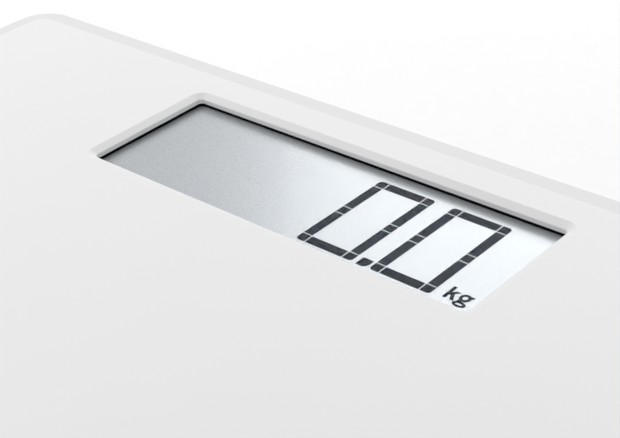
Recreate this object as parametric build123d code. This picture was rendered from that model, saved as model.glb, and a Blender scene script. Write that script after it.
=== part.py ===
from build123d import *
from math import atan2, cos, pi, sin
import os

# Digital bathroom scale. Millimetres. Origin on the floor under the middle of
# the footprint, +X to the reader's right, +Y towards the display edge, +Z up.

OVER = 1.0  # how far a cutting form runs past what it cuts
BITE = 0.5  # how deep a rib or post is sunk into the wall that it stands on
NEAR = 0.02  # margin when edges are picked by their height

# ---------------------------------------------------------------- outline
WIDTH = 310.0  # across, along X
DEPTH = 310.0  # front to back, along Y
HEIGHT = 25.0  # floor to the standing surface
CORNER_R = 11.0  # corners of the outline, seen from above
BEVEL_W = 6.0  # sloping strip all round the standing surface
BEVEL_DROP = 0.5  # how far that strip falls
EDGE_R = 0.8  # rounding between the strip and the side
PLATE_T = 2.4  # standing plate
SKIRT_T = 2.4  # side wall of the platform
SKIRT_BOTTOM = 8.5  # lower edge of that wall
RIB_T = 1.8  # ribs under the plate
RIB_BOTTOM = 16.5
RIB_PITCH = 37.0
RIB_LINES = [RIB_PITCH * (k + 0.5) for k in range(-4, 4)]
PLATE_LOW = HEIGHT - PLATE_T

# ---------------------------------------------------------------- base
BASE_INSET = 3.0  # base outline inside the platform outline
FLOOR_LOW = 5.0
FLOOR_T = 2.0
FLOOR_TOP = FLOOR_LOW + FLOOR_T
BASE_WALL_T = 2.0
BASE_WALL_TOP = 14.0
BASE_EDGE = 1.2  # chamfer round the bottom edge
BASE_RIB_T = 1.6
BASE_RIB_TOP = 11.0
POST_R = 5.0  # screw posts on the base floor
POST_TOP = 9.0
BOSS_R = 3.6  # screw bosses under the plate
SCREW_SHANK_R = 1.28
SCREW_PILOT_R = 1.32
SCREW_CLEAR_R = 1.6
SCREW_HEAD_R = 2.8
SCREW_SEAT = 6.6  # height of the counterbore's seat
SCREW_TIP = 17.0
BASE_SCREWS = [(55, -140), (140, -50), (140, 50), (85, 140), (64, 22)]

# ---------------------------------------------------------------- display window
RECESS_X = 129.0  # window at the standing surface
RECESS_Y = 44.7
RECESS_BACK = 9.25  # plate left between the window and the strip
RECESS_BEVEL_W = 2.15
RECESS_BEVEL_DROP = 1.15
RECESS_R = 3.65
RECESS_SOFT = 0.25  # rounding where the bevel meets the wall
WINDOW_X = RECESS_X - 2 * RECESS_BEVEL_W
WINDOW_Y = RECESS_Y - 2 * RECESS_BEVEL_W
WINDOW_R = RECESS_R - RECESS_BEVEL_W
WINDOW_CY = DEPTH / 2 - BEVEL_W - RECESS_BACK - RECESS_Y / 2

# ---------------------------------------------------------------- display stack, from the top
GASKET_T = 0.5
GASKET_BACK = 0.3  # gasket's inner edge behind the window's wall
POLARISER_T = 0.1
POLARISER_INSET = 1.5  # from the rear glass's edge
GLASS_T = 0.4
CRYSTAL_GAP = 0.07
SEGMENT_T = 0.04
SEAL_W = 1.0
REFLECTOR_T = 0.2
REFLECTOR_INSET = 0.5
GLASS_X = 130.0
FRONT_GLASS_Y = 52.0
REAR_GLASS_Y = 46.0
GASKET_LOW = PLATE_LOW - GASKET_T
POLARISER_LOW = GASKET_LOW - POLARISER_T
FRONT_GLASS_LOW = POLARISER_LOW - GLASS_T
SEGMENT_LOW = FRONT_GLASS_LOW - SEGMENT_T
REAR_GLASS_TOP = FRONT_GLASS_LOW - CRYSTAL_GAP
REAR_GLASS_LOW = REAR_GLASS_TOP - GLASS_T
REFLECTOR_LOW = REAR_GLASS_LOW - REFLECTOR_T

# ---------------------------------------------------------------- digits
DIGIT_H = 33.2
DIGIT_W = 18.16
STROKE = 3.16
DIGIT_PITCH = 23.27
DIGIT_X = 7.97  # left edge of the first digit
DIGIT_BOTTOM = 100.57
DIGIT_R = 1.7  # outer corners
SEGMENT_GAP = 0.38
POINT_X = 19.5  # decimal point, from the first digit's left edge
UNIT_X = 44.2  # unit sign, from the first digit's left edge
UNIT_Y = 1.14  # its baseline above the digits' bottom
UNIT_H = 4.74  # height of the k

# ---------------------------------------------------------------- circuit board
BOARD_X = 148.0
BOARD_Y = 57.0
BOARD_R = 1.5
BOARD_TOP = 17.0
BOARD_T = 1.6
BOARD_LOW = BOARD_TOP - BOARD_T
BOARD_ROOM = 2.0  # space kept round the board
BOARD_SCREW_X = 69.5
BOARD_SCREW_Y = 22.5
BOARD_HOLE_R = 1.3
BOARD_BOSS_R = 2.8
BOARD_PILOT_R = 1.0
BOARD_PILOT_TOP = PLATE_LOW - 0.8
CARRIER_ROOM = 0.3  # between the carrier and the glass
LEDGE_Y = 10.0  # ledges under the glass, from the window's middle
LEDGE_T = 2.0
GUIDE_T = 1.0
ZEBRA_Y = 24.6  # contact strips from the window's middle
ZEBRA_T = 2.0
ZEBRA_LENGTH = 110.0
SOCKET_SIZE = (7.0, 5.0, 4.0)
SOCKET_Y = WINDOW_CY - 24.0  # row of lead sockets
SOCKET_Z = BOARD_LOW - SOCKET_SIZE[2] / 2
CELL_SOCKETS = [30.0, 50.0]  # front pair of cells, back pair
BLOB_X = -14.0
BLOB_R = 7.0
BLOB_H = 1.5
CHIP_SIZE = (5.0, 4.0, 1.5)
CHIP_AT = (12.0, WINDOW_CY - 2.0)
CHIP_STANDOFF = 0.2
LEG_PITCH = 1.27
LEG_W = 0.42
LEG_T = 0.2
CRYSTAL_SIZE = (10.2, 3.8, 3.4)
CRYSTAL_AT = (-34.0, WINDOW_CY + 8.0)
CAPACITOR_SIZE = (2.0, 1.25, 1.1)
RESISTOR_SIZE = (1.6, 0.8, 0.5)

# ---------------------------------------------------------------- unit switch and its button
SWITCH_AT = (40.0, WINDOW_CY - 6.0)
SWITCH_SIZE = 6.0
SWITCH_LOW = 11.9
PLUNGER_LOW = 11.4
PLUNGER_TOP = 13.0
PLUNGER_R = 1.7
PLUNGER_HOLE_R = 1.8
PLUNGER_HOLE_TOP = 14.0
BUTTON_R = 6.0
BUTTON_HOLE_R = 6.35
BUTTON_LOW = 5.2
BUTTON_DISH_R = 30.0  # radius of the finger dish
BUTTON_DISH_DEPTH = 0.6
BUTTON_FLANGE_R = 7.4
BUTTON_FLANGE_LOW = 7.3
BUTTON_FLANGE_TOP = 8.3
BUTTON_STEM_R = 1.5
BUTTON_GUIDE_TOP = 9.0

# ---------------------------------------------------------------- weighing feet
CELL_AT = 118.0  # load cells from the middle, both ways
FOOT_R = 15.6
FOOT_HOLE_R = 16.2
FOOT_LOW = 1.2
FOOT_CAVITY = (13.0, 8.0, 4.0)  # outer and inner radius of the ring hollow, and its floor
FLANGE_R = 17.6
FLANGE_LOW = 7.3
FLANGE_TOP = 8.3
SEAT_R = 6.0  # boss that bears on the cell's tongue
PAD_R = 13.4
PAD_TOP = 2.4
PAD_GROOVE = (8.6, 7.4, 0.6)  # outer and inner radius, and depth
RING_IN_R = 18.4
RING_OUT_R = 20.4
CELL_SIZE = 34.0
CELL_R = 2.0
CELL_LOW = 9.0
CELL_TOP = 11.5
CELL_FRAME = 5.0
CELL_SLOT = 1.5
GAUGE_AT = 8.5  # strain gauge from the cell's middle, along Y
GAUGE_SIZE = (8.0, 5.0, 0.8)
HOLDER_SIZE = 38.0
HOLDER_R = 2.5
HOLDER_LOW = 9.6
HOLDER_TOP = 14.2
HOLDER_ROOF = 1.2
HOLDER_ROOM = 0.25  # between the holder and the cell
LEAD_EXIT = (14.0, 6.0)  # way out for the gauge's leads
EAR_AT = 23.5  # holder screws from the cell's middle, along Y
EAR_R = 4.0
EAR_LOW = 10.0
EAR_TOP = 12.0
EAR_HOLE_R = 1.1
EAR_POST_R = 3.2
EAR_PILOT_R = 0.92
EAR_SCREW_TIP = 7.6

# ---------------------------------------------------------------- battery bay
BAY_X = 34.8  # opening in the base floor
BAY_Y = 40.8
BAY_CY = -40.0
BAY_WALL = 1.6
BAY_CEILING = 13.0
BAY_TOP = 14.6
DOOR_GAP = 0.4
DOOR_T = 1.6
HINGE_R = 1.6
HINGE_Y = BAY_CY + BAY_Y / 2 - DOOR_GAP - HINGE_R
HINGE_Z = FLOOR_LOW + HINGE_R
HINGE_PIN_R = 0.9
HINGE_SOCKET_R = 0.98
BATTERY_R = 10.0
BATTERY_LOW = 8.8
BATTERY_T = 3.2
BATTERY_CY = -41.0
BATTERY_RING_T = 1.6
DOOR_RIB = (8.0, 6.4)  # ring on the door that holds the battery up
DOOR_RIB_TOP = BATTERY_LOW - 0.4
TAB_SIZE = (12.0, 1.2)  # snap tongue at the door's free end
TAB_TOP = 10.0
CONTACT_T = 0.3
TAIL_W = 2.4
TAIL_TOP = BAY_TOP + 1.2
TAIL_ROOM = 0.1  # round a contact's tail in its slot
MINUS_TAIL_Y = BATTERY_CY + 3.85
PLUS_TAIL_X = BATTERY_R + CONTACT_T / 2

# ---------------------------------------------------------------- leads
WIRE_R = 0.5
WIRE_PITCH = 1.15
WIRE_Z = FLOOR_TOP + 0.8
CHANNEL_X = 80.0  # run of the cells' leads along the base, from the middle
CROSS_FRONT = 58.0  # where the front cells' leads turn to the board, along Y
CROSS_BACK = 69.0  # where the back cells' leads do
CHANNEL_W = 12.0

CORNERS = {
    "front_left": (-1, -1),
    "front_right": (1, -1),
    "back_left": (-1, 1),
    "back_right": (1, 1),
}


# ================================================================ helpers
def block(size_x, size_y, low, high, x=0.0, y=0.0):
    """Upright box given by its plan size, its heights and its middle."""
    return Pos(x, y, (low + high) / 2) * Box(size_x, size_y, high - low)


def rounded_block(size_x, size_y, low, high, radius, x=0.0, y=0.0):
    """Upright prism with rounded corners."""
    outline = RectangleRounded(size_x, size_y, radius)
    return Pos(x, y, low) * extrude(outline, amount=high - low)


def disc(radius, low, high, x=0.0, y=0.0):
    """Upright cylinder given by its heights."""
    return Pos(x, y, (low + high) / 2) * Cylinder(radius, high - low)


def ring(outer, inner, low, high, x=0.0, y=0.0):
    """Upright tube."""
    return disc(outer, low, high, x, y) - disc(inner, low - OVER, high + OVER, x, y)


def at_corner(sides):
    """Middle of the load cell in one corner."""
    return sides[0] * CELL_AT, sides[1] * CELL_AT


def screw(x, y, seat, tip, head_r, head_t, shank_r):
    """Pan-head screw from its seat to its tip, with a cross recess in its head."""
    length = abs(tip - seat)
    head = disc(head_r, -head_t, 0)
    head = fillet(head.edges().sort_by(Axis.Z)[0], head_t * 0.45)
    recess_top = -head_t * 0.45
    head -= block(head_r * 1.1, head_r * 0.26, -head_t - 1, recess_top)
    head -= block(head_r * 0.26, head_r * 1.1, -head_t - 1, recess_top)
    body = head + disc(shank_r, 0, length)
    turn = 0 if tip > seat else 180
    return Pos(x, y, seat) * Rot(turn, 0, 0) * body


def mirrored(points):
    """Each place and its mirror image across the middle."""
    return [(side * x, y) for x, y in points for side in (-1, 1)]


# ================================================================ platform
def bevelled_plate():
    """Outer form of the platform, with its sloping edge strip."""
    form = rounded_block(WIDTH, DEPTH, SKIRT_BOTTOM, HEIGHT, CORNER_R)
    top = form.faces().sort_by(Axis.Z)[-1]
    form = chamfer(top.edges(), length=BEVEL_W, length2=BEVEL_DROP, reference=top)
    strip_low = HEIGHT - BEVEL_DROP
    rim = form.edges().filter_by_position(Axis.Z, strip_low - NEAR, strip_low + NEAR)
    return fillet(rim, EDGE_R)


def window_cutter():
    """Display window: a bevelled recess above a straight-walled hole."""
    bevel_low = HEIGHT - RECESS_BEVEL_DROP
    recess = rounded_block(RECESS_X, RECESS_Y, bevel_low, HEIGHT + OVER, RECESS_R, y=WINDOW_CY)
    floor = recess.faces().sort_by(Axis.Z)[0]
    recess = chamfer(
        floor.edges(), length=RECESS_BEVEL_W, length2=RECESS_BEVEL_DROP, reference=floor
    )
    hole = rounded_block(WINDOW_X, WINDOW_Y, PLATE_LOW - OVER, bevel_low, WINDOW_R, y=WINDOW_CY)
    return recess + hole


def plate_ribs():
    """Grid of ribs under the plate, left out round the display."""
    inside = WIDTH - 2 * SKIRT_T
    ribs = block(RIB_T, inside, RIB_BOTTOM, PLATE_LOW, RIB_LINES[0])
    for line in RIB_LINES[1:]:
        ribs += block(RIB_T, inside, RIB_BOTTOM, PLATE_LOW, line)
    for line in RIB_LINES:
        ribs += block(inside, RIB_T, RIB_BOTTOM, PLATE_LOW, 0, line)
    bay_low = WINDOW_CY - BOARD_Y / 2 - BOARD_ROOM
    bay = block(BOARD_X + 2 * BOARD_ROOM, DEPTH, 0, HEIGHT, 0, bay_low + DEPTH / 2)
    return ribs - bay


def plate_bosses():
    """Screw bosses under the plate and the crosses that bear on the cell holders."""
    bosses = disc(BOSS_R, POST_TOP, PLATE_LOW, *mirrored(BASE_SCREWS)[0])
    for x, y in mirrored(BASE_SCREWS)[1:]:
        bosses += disc(BOSS_R, POST_TOP, PLATE_LOW, x, y)
    for x, y in board_screw_places():
        bosses += disc(BOARD_BOSS_R, BOARD_TOP, PLATE_LOW, x, y)
    for sides in CORNERS.values():
        x, y = at_corner(sides)
        bosses += block(HOLDER_SIZE, RIB_T, HOLDER_TOP, PLATE_LOW, x, y)
        bosses += block(RIB_T, HOLDER_SIZE, HOLDER_TOP, PLATE_LOW, x, y)
    return bosses


def platform():
    """Standing surface, skirt, ribs and bosses in one moulding."""
    shell = bevelled_plate()
    inner_r = CORNER_R - SKIRT_T
    inner_x = WIDTH - 2 * SKIRT_T
    inner_y = DEPTH - 2 * SKIRT_T
    shell -= rounded_block(inner_x, inner_y, SKIRT_BOTTOM - OVER, PLATE_LOW, inner_r)
    shell += plate_ribs() + plate_bosses()
    for x, y in mirrored(BASE_SCREWS):
        shell -= disc(SCREW_PILOT_R, POST_TOP - OVER, SCREW_TIP + OVER, x, y)
    for x, y in board_screw_places():
        shell -= disc(BOARD_PILOT_R, BOARD_TOP - OVER, BOARD_PILOT_TOP, x, y)
    shell -= window_cutter()
    bevel_low = HEIGHT - RECESS_BEVEL_DROP
    soft = shell.edges().filter_by_position(Axis.Z, bevel_low - NEAR, bevel_low + NEAR)
    return fillet(soft, RECESS_SOFT)


# ================================================================ display stack
def display_gasket():
    """Black foam frame between the plate and the display glass."""
    inner_x = WINDOW_X + 2 * GASKET_BACK
    inner_y = WINDOW_Y + 2 * GASKET_BACK
    frame = block(GLASS_X, FRONT_GLASS_Y, GASKET_LOW, PLATE_LOW, 0, WINDOW_CY)
    return frame - rounded_block(inner_x, inner_y, 0, HEIGHT, WINDOW_R, y=WINDOW_CY)


def lcd_polariser():
    size_x = GLASS_X - 2 * POLARISER_INSET
    size_y = REAR_GLASS_Y - 2 * POLARISER_INSET
    return block(size_x, size_y, POLARISER_LOW, GASKET_LOW, 0, WINDOW_CY)


def lcd_front_glass():
    return block(GLASS_X, FRONT_GLASS_Y, FRONT_GLASS_LOW, POLARISER_LOW, 0, WINDOW_CY)


def lcd_seal():
    """Epoxy line that closes the gap between the two glasses."""
    outer = block(GLASS_X, REAR_GLASS_Y, REAR_GLASS_TOP, FRONT_GLASS_LOW, 0, WINDOW_CY)
    inner_x = GLASS_X - 2 * SEAL_W
    inner_y = REAR_GLASS_Y - 2 * SEAL_W
    return outer - block(inner_x, inner_y, 0, HEIGHT, 0, WINDOW_CY)


def lcd_rear_glass():
    return block(GLASS_X, REAR_GLASS_Y, REAR_GLASS_LOW, REAR_GLASS_TOP, 0, WINDOW_CY)


def lcd_reflector():
    size_x = GLASS_X - 2 * REFLECTOR_INSET
    size_y = REAR_GLASS_Y - 2 * REFLECTOR_INSET
    return block(size_x, size_y, REFLECTOR_LOW, REAR_GLASS_LOW, 0, WINDOW_CY)


def segment(x0, y0, x1, y1):
    """One rectangular segment, held off its neighbours by half a gap on each side."""
    half = SEGMENT_GAP / 2
    size_x = x1 - x0 - 2 * half
    size_y = y1 - y0 - 2 * half
    sheet = Rectangle(size_x, size_y)
    return Pos((x0 + x1) / 2, (y0 + y1) / 2) * sheet


def digit_zero():
    """A zero: corner pieces, bars and the small squares at half height."""
    cols = [0, STROKE, DIGIT_W - STROKE, DIGIT_W]
    mid_low = (DIGIT_H - STROKE) / 2
    rows = [0, STROKE, mid_low, mid_low + STROKE, DIGIT_H - STROKE, DIGIT_H]
    pieces = []
    for row in range(5):
        pieces.append(segment(cols[0], rows[row], cols[1], rows[row + 1]))
        pieces.append(segment(cols[2], rows[row], cols[3], rows[row + 1]))
    for row in (0, 4):
        pieces.append(segment(cols[1], rows[row], cols[2], rows[row + 1]))
    outline = Pos(DIGIT_W / 2, DIGIT_H / 2) * RectangleRounded(DIGIT_W, DIGIT_H, DIGIT_R)
    return [piece & outline for piece in pieces]


def decimal_point():
    """Square point with its lower right corner rounded."""
    square = Pos(STROKE / 2, STROKE / 2) * Rectangle(STROKE, STROKE)
    corner = square.vertices().sort_by(Axis.Y)[0:2].sort_by(Axis.X)[-1]
    return fillet(corner, DIGIT_R)


def letter_k():
    stem = Pos(0.095, 0.5) * Rectangle(0.19, 1.0)
    arm = make_face(Polyline((0.1, 0.2), (0.63, 0.71), (0.38, 0.71), (0.1, 0.42), close=True))
    leg = make_face(Polyline((0.24, 0.4), (0.43, 0.0), (0.66, 0.0), (0.38, 0.53), close=True))
    return stem + arm + leg


def letter_g():
    bowl = Pos(1.02, 0.48) * (Circle(0.31) - Circle(0.14))
    loop = Pos(1.05, -0.08) * (Ellipse(0.38, 0.21) - Ellipse(0.21, 0.08))
    ear = make_face(Polyline((1.14, 0.66), (1.26, 0.56), (1.44, 0.66), (1.38, 0.78), close=True))
    link_points = [(0.76, 0.1), (1.1, 0.02), (1.1, 0.13), (0.98, 0.16), (1.04, 0.24), (0.86, 0.3)]
    link = make_face(Polyline(*link_points, close=True))
    return bowl + loop + ear + link


def laid_in(sheets, x, y):
    """Thin solids on the front glass's underside, from flat outlines."""
    place = Pos(x, y, SEGMENT_LOW)
    return [place * extrude(sheet, amount=SEGMENT_T) for sheet in sheets]


def lcd_digits():
    """The lit segments: two zeros and the point between them."""
    solids = laid_in(digit_zero(), DIGIT_X, DIGIT_BOTTOM)
    solids += laid_in(digit_zero(), DIGIT_X + DIGIT_PITCH, DIGIT_BOTTOM)
    solids += laid_in([decimal_point()], DIGIT_X + POINT_X, DIGIT_BOTTOM)
    return Compound(children=solids)


def lcd_unit_sign():
    """The small unit sign beside the digits."""
    letters = [scale(letter_k(), UNIT_H), scale(letter_g(), UNIT_H)]
    return Compound(children=laid_in(letters, DIGIT_X + UNIT_X, DIGIT_BOTTOM + UNIT_Y))


def display_carrier():
    """Black frame that holds the glass and the contact strips on the board."""
    frame = block(BOARD_X, BOARD_Y, BOARD_TOP, PLATE_LOW, 0, WINDOW_CY)
    room_x = GLASS_X + 2 * CARRIER_ROOM
    room_y = FRONT_GLASS_Y + 2 * CARRIER_ROOM
    frame -= block(room_x, room_y, 0, HEIGHT, 0, WINDOW_CY)
    length = room_x + BITE
    for side in (-1, 1):
        ledge_y = WINDOW_CY + side * LEDGE_Y
        frame += block(length, LEDGE_T, BOARD_TOP, REFLECTOR_LOW, 0, ledge_y)
        guide_y = WINDOW_CY + side * (ZEBRA_Y - ZEBRA_T / 2 - GUIDE_T / 2 - 0.2)
        frame += block(length, GUIDE_T, BOARD_TOP, REFLECTOR_LOW, 0, guide_y)
    for x, y in board_screw_places():
        frame -= disc(BOARD_BOSS_R + 0.2, 0, HEIGHT, x, y)
    return frame


def contact_strips():
    """Two rubber strips that join the glass to the board."""
    strips = []
    for side in (-1, 1):
        y = WINDOW_CY + side * ZEBRA_Y
        strips.append(block(ZEBRA_LENGTH, ZEBRA_T, BOARD_TOP, FRONT_GLASS_LOW, 0, y))
    return Compound(children=strips)


# ================================================================ circuit board
def board_screw_places():
    places = []
    for side_y in (-1, 1):
        for side_x in (-1, 1):
            places.append((side_x * BOARD_SCREW_X, WINDOW_CY + side_y * BOARD_SCREW_Y))
    return places


def circuit_board():
    board = rounded_block(BOARD_X, BOARD_Y, BOARD_LOW, BOARD_TOP, BOARD_R, y=WINDOW_CY)
    for x, y in board_screw_places():
        board -= disc(BOARD_HOLE_R, 0, HEIGHT, x, y)
    return board


def controller_blob():
    """Epoxy drop over the controller die."""
    ball_r = (BLOB_R**2 + BLOB_H**2) / (2 * BLOB_H)
    ball = Pos(BLOB_X, WINDOW_CY, BOARD_LOW - BLOB_H + ball_r) * Sphere(ball_r)
    return ball & disc(BLOB_R + OVER, BOARD_LOW - BLOB_H - OVER, BOARD_LOW, BLOB_X, WINDOW_CY)


def amplifier_chip():
    size_x, size_y, size_z = CHIP_SIZE
    top = BOARD_LOW - CHIP_STANDOFF
    return block(size_x, size_y, top - size_z, top, *CHIP_AT)


def amplifier_legs():
    """Bent legs of the amplifier, four on each side."""
    shoulder = BOARD_LOW - 0.7
    legs = []
    for side in (-1, 1):
        edge_y = CHIP_AT[1] + side * CHIP_SIZE[1] / 2
        for k in range(4):
            x = CHIP_AT[0] + LEG_PITCH * (k - 1.5)
            leg = block(LEG_W, 0.6, shoulder - LEG_T, shoulder, x, edge_y + side * 0.3)
            leg += block(LEG_W, LEG_T, shoulder - LEG_T, BOARD_LOW, x, edge_y + side * 0.7)
            leg += block(LEG_W, 0.8, BOARD_LOW - LEG_T, BOARD_LOW, x, edge_y + side * 0.9)
            legs.append(leg)
    return Compound(children=legs)


def crystal():
    size_x, size_y, size_z = CRYSTAL_SIZE
    end_r = size_y / 2 - 0.05
    can = rounded_block(size_x, size_y, BOARD_LOW - size_z, BOARD_LOW, end_r, *CRYSTAL_AT)
    return fillet(can.faces().sort_by(Axis.Z)[0].edges(), 0.6)


def small_parts(size, places):
    """Like surface-mounted blocks on the board's underside."""
    size_x, size_y, size_z = size
    parts = []
    for x, y in places:
        parts.append(block(size_x, size_y, BOARD_LOW - size_z, BOARD_LOW, x, WINDOW_CY + y))
    return Compound(children=parts)


def chip_capacitors():
    return small_parts(CAPACITOR_SIZE, [(-26 + 5 * k, -10) for k in range(6)])


def chip_resistors():
    return small_parts(RESISTOR_SIZE, [(2 + 4 * k, 9) for k in range(8)])


def lead_sockets():
    """White sockets for the four cells' leads and the battery's."""
    size_x, size_y, size_z = SOCKET_SIZE
    sockets = []
    for x in (-CELL_SOCKETS[1], -CELL_SOCKETS[0], 0.0, CELL_SOCKETS[0], CELL_SOCKETS[1]):
        sockets.append(block(size_x, size_y, BOARD_LOW - size_z, BOARD_LOW, x, SOCKET_Y))
    return Compound(children=sockets)


def unit_switch_body():
    body = block(SWITCH_SIZE, SWITCH_SIZE, SWITCH_LOW, BOARD_LOW, *SWITCH_AT)
    return body - disc(PLUNGER_HOLE_R, SWITCH_LOW - OVER, PLUNGER_HOLE_TOP, *SWITCH_AT)


def unit_switch_plunger():
    return disc(PLUNGER_R, PLUNGER_LOW, PLUNGER_TOP, *SWITCH_AT)


def unit_button():
    """Recessed key with a flange that keeps it in the base and a stem up to the switch."""
    x, y = SWITCH_AT
    key = disc(BUTTON_R, BUTTON_LOW, BUTTON_FLANGE_TOP, x, y)
    key = fillet(key.edges().sort_by(Axis.Z)[0], 0.6)
    key -= Pos(x, y, BUTTON_LOW + BUTTON_DISH_DEPTH - BUTTON_DISH_R) * Sphere(BUTTON_DISH_R)
    key += disc(BUTTON_FLANGE_R, BUTTON_FLANGE_LOW, BUTTON_FLANGE_TOP, x, y)
    return key + disc(BUTTON_STEM_R, BUTTON_FLANGE_TOP, PLUNGER_LOW, x, y)


def board_screws():
    screws = []
    for x, y in board_screw_places():
        screws.append(screw(x, y, BOARD_LOW, 21.0, 2.4, 1.4, 0.96))
    return Compound(children=screws)


# ================================================================ base
def lead_channels(low, high):
    """Space kept free of ribs for the leads."""
    length = 2 * CELL_AT + 50
    space = block(CHANNEL_W, length, low, high, -CHANNEL_X, 0)
    space += block(CHANNEL_W, length, low, high, CHANNEL_X, 0)
    space += block(2 * CHANNEL_X, 60, low, high, 0, 75)
    space += block(8, 120, low, high, 0, 40)
    for sides in CORNERS.values():
        x, y = at_corner(sides)
        space += block(48, 10, low, high, x - sides[0] * 20, y + sides[1] * GAUGE_AT)
    return space


def base_ribs():
    """Grid of low ribs on the base floor."""
    inside = WIDTH - 2 * BASE_INSET - 2 * BASE_WALL_T
    ribs = block(BASE_RIB_T, inside, FLOOR_TOP, BASE_RIB_TOP, RIB_LINES[0])
    for line in RIB_LINES[1:]:
        ribs += block(BASE_RIB_T, inside, FLOOR_TOP, BASE_RIB_TOP, line)
    for line in RIB_LINES:
        ribs += block(inside, BASE_RIB_T, FLOOR_TOP, BASE_RIB_TOP, 0, line)
    low = FLOOR_TOP - BITE
    high = BASE_RIB_TOP + OVER
    ribs -= lead_channels(low, high)
    ribs -= block(BOARD_X + 8, BOARD_Y + 20, low, high, 0, WINDOW_CY)
    for sides in CORNERS.values():
        x, y = at_corner(sides)
        ribs -= block(HOLDER_SIZE + 2, 2 * EAR_AT + 12, low, high, x, y)
    for x, y in mirrored(BASE_SCREWS):
        ribs -= disc(BOSS_R + 0.4, POST_TOP, high, x, y)
    return ribs


def battery_bay_walls():
    """Box over the battery opening, with its hinge ears and the ring round the battery."""
    outer_x = BAY_X + 2 * BAY_WALL
    outer_y = BAY_Y + 2 * BAY_WALL
    bay = block(outer_x, outer_y, FLOOR_TOP, BAY_TOP, 0, BAY_CY)
    for side in (-1, 1):
        bay += block(3.0, 6.0, FLOOR_TOP, 9.6, side * (BAY_X / 2 + 1.5), HINGE_Y)
    return bay


def battery_ring():
    """Broken ring that the coin battery sits in."""
    inner = BATTERY_R + 0.3
    hoop = ring(inner + BATTERY_RING_T, inner, BATTERY_LOW, BAY_CEILING, 0, BATTERY_CY)
    hoop -= block(9, 9, 0, HEIGHT, BATTERY_R + 1.5, BATTERY_CY)
    return hoop - block(9, 9, 0, HEIGHT, 0, BATTERY_CY - BATTERY_R - 1.5)


def base_shell():
    """Bottom tray: floor, wall, posts, foot rings and battery bay."""
    size_x = WIDTH - 2 * BASE_INSET
    size_y = DEPTH - 2 * BASE_INSET
    outer_r = CORNER_R - BASE_INSET
    tray = rounded_block(size_x, size_y, FLOOR_LOW, BASE_WALL_TOP, outer_r)
    tray = chamfer(tray.faces().sort_by(Axis.Z)[0].edges(), BASE_EDGE)
    inner_x = size_x - 2 * BASE_WALL_T
    inner_y = size_y - 2 * BASE_WALL_T
    tray -= rounded_block(inner_x, inner_y, FLOOR_TOP, HEIGHT, outer_r - BASE_WALL_T)
    tray += base_ribs()
    tray += battery_bay_walls()
    for x, y in mirrored(BASE_SCREWS):
        tray += disc(POST_R, FLOOR_LOW + BITE, POST_TOP, x, y)
        tray -= disc(SCREW_CLEAR_R, 0, HEIGHT, x, y)
        tray -= disc(SCREW_HEAD_R + 0.3, 0, SCREW_SEAT, x, y)
    for sides in CORNERS.values():
        x, y = at_corner(sides)
        tray += ring(RING_OUT_R, RING_IN_R, FLOOR_TOP - BITE, CELL_LOW, x, y)
        tray -= disc(FOOT_HOLE_R, 0, FLOOR_TOP + OVER, x, y)
        for ear in (-1, 1):
            tray += disc(EAR_POST_R, FLOOR_TOP - BITE, EAR_LOW, x, y + ear * EAR_AT)
            tray -= disc(EAR_PILOT_R, FLOOR_TOP + 0.4, HEIGHT, x, y + ear * EAR_AT)
    tray -= block(BAY_X, BAY_Y, 0, BAY_CEILING, 0, BAY_CY)
    tray += battery_ring()
    tray -= contact_slots()
    socket_half = BAY_X / 2 + 1.9
    tray -= Pos(0, HINGE_Y, HINGE_Z) * Rot(0, 90, 0) * Cylinder(HINGE_SOCKET_R, 2 * socket_half)
    tray -= finger_notch()
    guide_r = BUTTON_FLANGE_R + 0.4
    tray += ring(guide_r + 1.2, guide_r, FLOOR_TOP - BITE, BUTTON_GUIDE_TOP, *SWITCH_AT)
    tray -= disc(BUTTON_HOLE_R, 0, FLOOR_TOP + OVER, *SWITCH_AT)
    return tray + lead_hooks()


def finger_notch():
    """Scoop beside the free end of the battery door."""
    edge_y = BAY_CY - BAY_Y / 2
    scoop = Pos(0, edge_y - 1.5, FLOOR_LOW - 1.8) * Cylinder(7.0, 6.0)
    return scoop & block(14, 7, 0, FLOOR_LOW + 1.2, 0, edge_y - 3.5)


def lead_hooks():
    """Pairs of posts that keep the leads in their channels."""
    hooks = []
    reach = WIRE_PITCH + WIRE_R + 0.8
    for side in (-1, 1):
        for y in (-70.0, -20.0, 30.0):
            for step in (-reach, reach):
                x = side * CHANNEL_X + step
                hooks.append(block(1.2, 4.0, FLOOR_TOP - BITE, FLOOR_TOP + 3.0, x, y))
    return hooks


def base_screws():
    screws = []
    for x, y in mirrored(BASE_SCREWS):
        screws.append(screw(x, y, SCREW_SEAT, SCREW_TIP, SCREW_HEAD_R, 1.5, SCREW_SHANK_R))
    return Compound(children=screws)


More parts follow.
